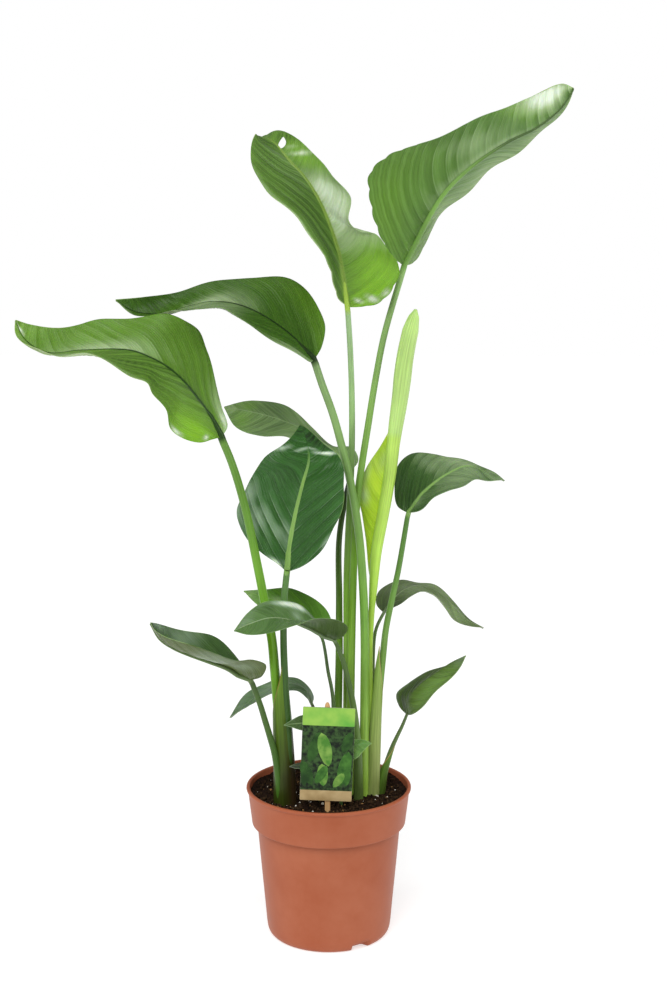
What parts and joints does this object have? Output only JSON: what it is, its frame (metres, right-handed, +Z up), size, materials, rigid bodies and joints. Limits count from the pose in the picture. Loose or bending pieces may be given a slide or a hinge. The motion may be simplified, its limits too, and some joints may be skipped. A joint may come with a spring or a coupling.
{
  "type": "potted bird of paradise plant",
  "caption": "Young bird of paradise plant: long-stalked paddle-shaped leaves and one furled leaf, in a terracotta-coloured nursery pot of soil with a plant card.",
  "frame": {"origin": "centre of the pot's flat underside, on the floor", "axes": "+Z up, +Y away from the front view, +X to the right in the front view"},
  "size_m": [0.6054, 0.2216, 0.9636],
  "materials": {
    "pot": "satin moulded terracotta-coloured polypropylene",
    "soil": "damp crumbly peat mix with white perlite grains",
    "card": "satin printed card",
    "stick": "raw pale wood",
    "leaf": "waxy mid-green leaf with a pale midrib and fine side veins",
    "leaf_bright": "waxy bright green leaf with a dark grooved midrib",
    "leaf_dark": "waxy dark green leaf with a gloss",
    "leaf_young": "smooth light yellow-green young leaf"
  },
  "bodies": {
    "root": {"pot": "pot", "soil": "soil", "label_card": "card", "label_stick": "stick", "leaf_upper_right": "leaf", "leaf_top": "leaf", "leaf_high_left": "leaf", "leaf_far_left": "leaf_bright", "leaf_behind_left": "leaf", "leaf_dark_front": "leaf_dark", "leaf_furled": "leaf_young", "leaf_right": "leaf", "leaf_lower_right": "leaf", "leaf_mid_back": "leaf", "leaf_mid_front": "leaf_dark", "leaf_low_left": "leaf_dark", "leaf_low_behind": "leaf_dark", "leaf_small_left": "leaf_dark", "leaf_outer_right": "leaf_dark", "leaf_small_right": "leaf_dark", "leaf_tiny_left": "leaf_dark"}
  },
  "joints": []
}
